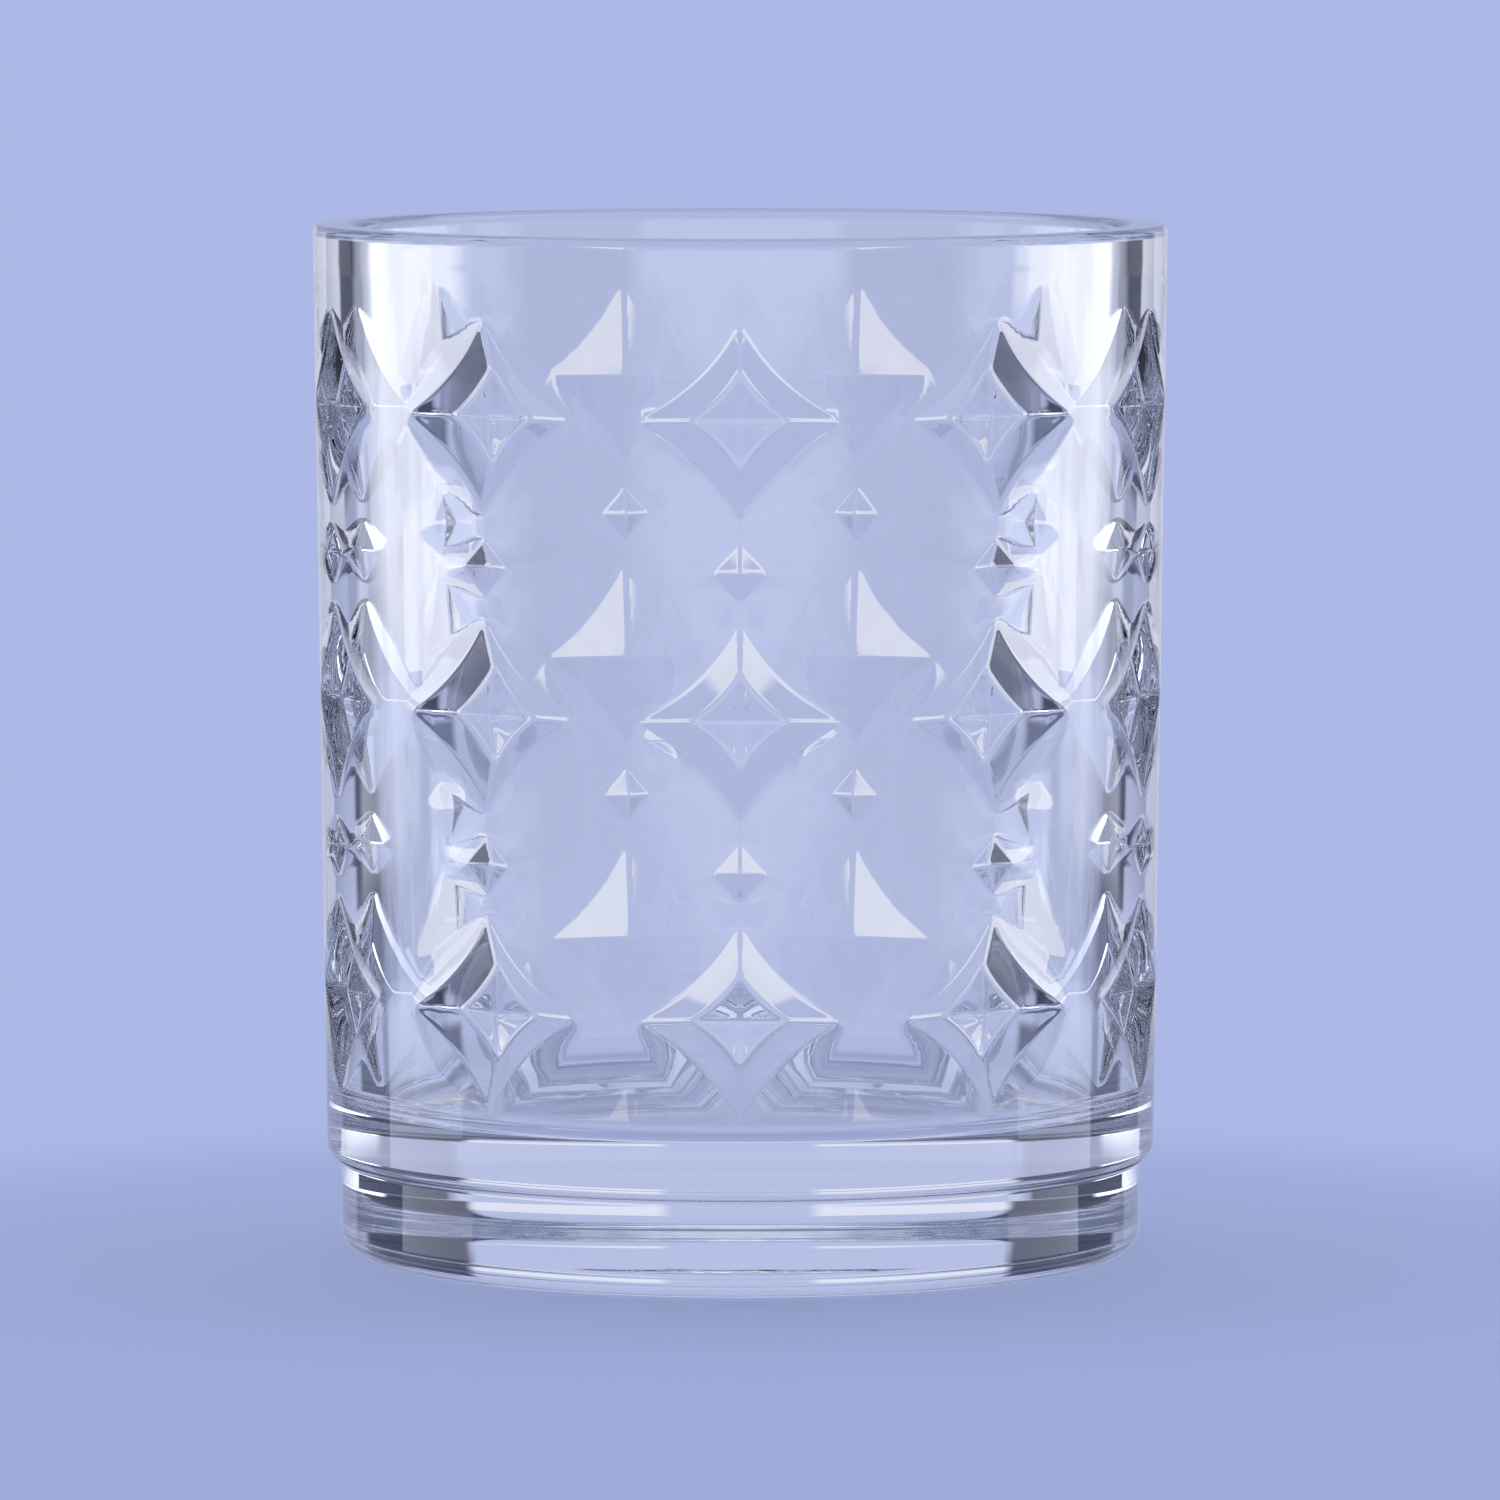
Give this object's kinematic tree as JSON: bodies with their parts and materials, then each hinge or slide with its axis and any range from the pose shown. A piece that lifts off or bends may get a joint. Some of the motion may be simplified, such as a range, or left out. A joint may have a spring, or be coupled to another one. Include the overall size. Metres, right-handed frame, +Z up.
{
  "type": "whiskey tumbler",
  "caption": "Clear pressed-glass whiskey tumbler with rows of sunk four-pointed stars and small diamonds, a heavy base and a narrower foot.",
  "frame": {"origin": "centre of the resting ring under the foot", "axes": "+Z up along the tumbler's axis, the middle column of the five front star columns faces -Y"},
  "size_m": [0.0826, 0.0826, 0.1],
  "materials": {
    "clear_glass": "polished"
  },
  "bodies": {
    "root": {"rim": "clear_glass", "wall": "clear_glass", "base": "clear_glass", "foot": "clear_glass"}
  },
  "joints": []
}
